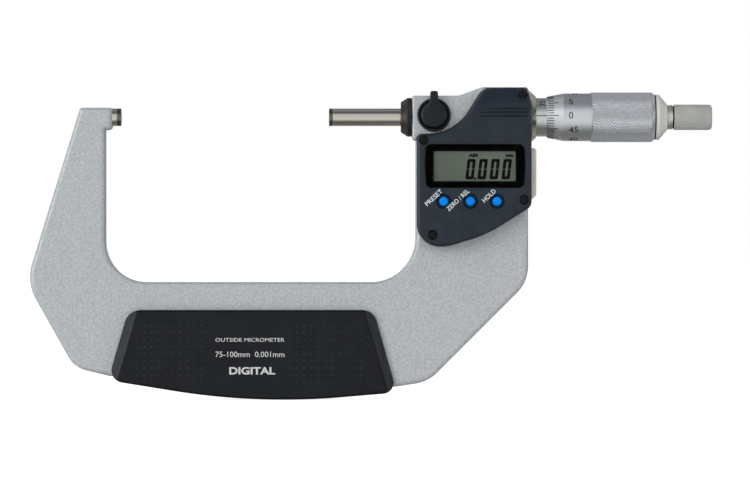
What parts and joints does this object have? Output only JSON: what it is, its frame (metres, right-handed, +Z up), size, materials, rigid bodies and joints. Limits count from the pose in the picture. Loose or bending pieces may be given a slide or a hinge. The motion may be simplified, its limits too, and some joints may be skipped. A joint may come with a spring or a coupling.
{
  "type": "outside micrometer",
  "caption": "Digital outside micrometer: deep C frame with anvil, spindle, clamp lever, screwed display unit, thimble, ratchet stop and grip plates.",
  "frame": {"origin": "centre of the anvil's measuring face", "axes": "+X along the spindle from the anvil to the thimble, +Z up in the plane of the bow, -Y out of the display"},
  "size_m": [0.2459, 0.0245, 0.1127],
  "materials": {
    "paint": "fine hammered paint",
    "steel": "ground",
    "satin_chrome": "satin",
    "carbide": "lapped",
    "blackened": "black oxide, satin",
    "cover_plastic": "fine texture",
    "clamp_plastic": "satin",
    "grip_plastic": "satin",
    "window_black": "gloss",
    "window_clear": "clear",
    "lcd": "satin",
    "blue_plastic": "satin",
    "grey_plastic": "satin",
    "rubber": "matt",
    "brass": "satin",
    "circuit_board": "solder mask"
  },
  "bodies": {
    "frame_unit": {"frame": "paint", "anvil": "steel", "anvil_tip": "carbide", "nose_nut": "blackened", "wiper_ring": "rubber", "clamp_shoe": "brass", "front_cover": "cover_plastic", "cover_gasket": "rubber", "window_frame": "window_black", "window_lens": "window_clear", "lcd_panel": "lcd", "lcd_connector": "rubber", "main_board": "circuit_board", "key_pad": "rubber", "switch_dome_left": "steel", "switch_dome_middle": "steel", "switch_dome_right": "steel", "cover_screw_top_left": "blackened", "cover_screw_top_right": "blackened", "cover_screw_low_left": "blackened", "cover_screw_low_right": "blackened", "battery": "steel", "battery_contact": "brass", "port_cap": "grey_plastic", "port_screw_upper": "blackened", "port_screw_lower": "blackened", "port_socket": "window_black", "encoder_stator": "circuit_board", "encoder_cable": "brass", "sleeve": "satin_chrome", "sleeve_nut": "steel", "adjusting_nut": "steel", "grip_front": "grip_plastic", "grip_rear": "grip_plastic", "grip_screw_left": "blackened", "grip_screw_right": "blackened"},
    "rotor_unit": {"encoder_rotor": "circuit_board", "rotor_key": "steel"},
    "spindle_unit": {"spindle": "steel", "spindle_tip": "carbide", "thimble": "satin_chrome", "end_cap": "grey_plastic", "ratchet_hub": "satin_chrome", "ratchet_screw": "steel", "click_plate_fixed": "steel"},
    "ratchet_unit": {"ratchet_knob": "grey_plastic", "ratchet_spring": "steel", "click_plate_sprung": "steel"},
    "clamp_unit": {"clamp_lever": "clamp_plastic", "clamp_stem": "steel"},
    "button_left_unit": {"button_left": "blue_plastic"},
    "button_middle_unit": {"button_middle": "blue_plastic"},
    "button_right_unit": {"button_right": "blue_plastic"},
    "lid_ring_unit": {"lid_o_ring": "rubber"},
    "lid_unit": {"battery_lid": "satin_chrome"}
  },
  "joints": [
    {"name": "spindle_turn", "type": "hinge", "parent": "frame_unit", "child": "rotor_unit", "pos_m": [0.138, 0, 0], "axis": [1, 0, 0], "range_deg": [0, 18000]},
    {"name": "spindle_feed", "type": "slide", "parent": "rotor_unit", "child": "spindle_unit", "axis": [1, 0, 0], "range_m": [0, 0.025]},
    {"name": "ratchet_turn", "type": "hinge", "parent": "spindle_unit", "child": "ratchet_unit", "pos_m": [0.206, 0, 0], "axis": [1, 0, 0], "continuous": true},
    {"name": "clamp_turn", "type": "hinge", "parent": "frame_unit", "child": "clamp_unit", "pos_m": [0.1128, 0, 0.0006], "axis": [0, 1, 0], "range_deg": [0, 75]},
    {"name": "battery_lid_feed", "type": "slide", "parent": "frame_unit", "child": "lid_ring_unit", "axis": [0, 1, 0], "range_m": [0, 0.003]},
    {"name": "battery_lid_turn", "type": "hinge", "parent": "lid_ring_unit", "child": "lid_unit", "pos_m": [0.127, 0, -0.027], "axis": [0, 1, 0], "range_deg": [0, 1080]},
    {"name": "button_left_press", "type": "slide", "parent": "frame_unit", "child": "button_left_unit", "axis": [0, 1, 0], "range_m": [0, 0.0005], "stiffness_N_per_m": 1000},
    {"name": "button_middle_press", "type": "slide", "parent": "frame_unit", "child": "button_middle_unit", "axis": [0, 1, 0], "range_m": [0, 0.0005], "stiffness_N_per_m": 1000},
    {"name": "button_right_press", "type": "slide", "parent": "frame_unit", "child": "button_right_unit", "axis": [0, 1, 0], "range_m": [0, 0.0005], "stiffness_N_per_m": 1000}
  ],
  "couplings": [
    {"joint": "spindle_turn", "follows": "spindle_feed", "rad_per_m": 12566},
    {"joint": "battery_lid_turn", "follows": "battery_lid_feed", "rad_per_m": 6283.2}
  ]
}
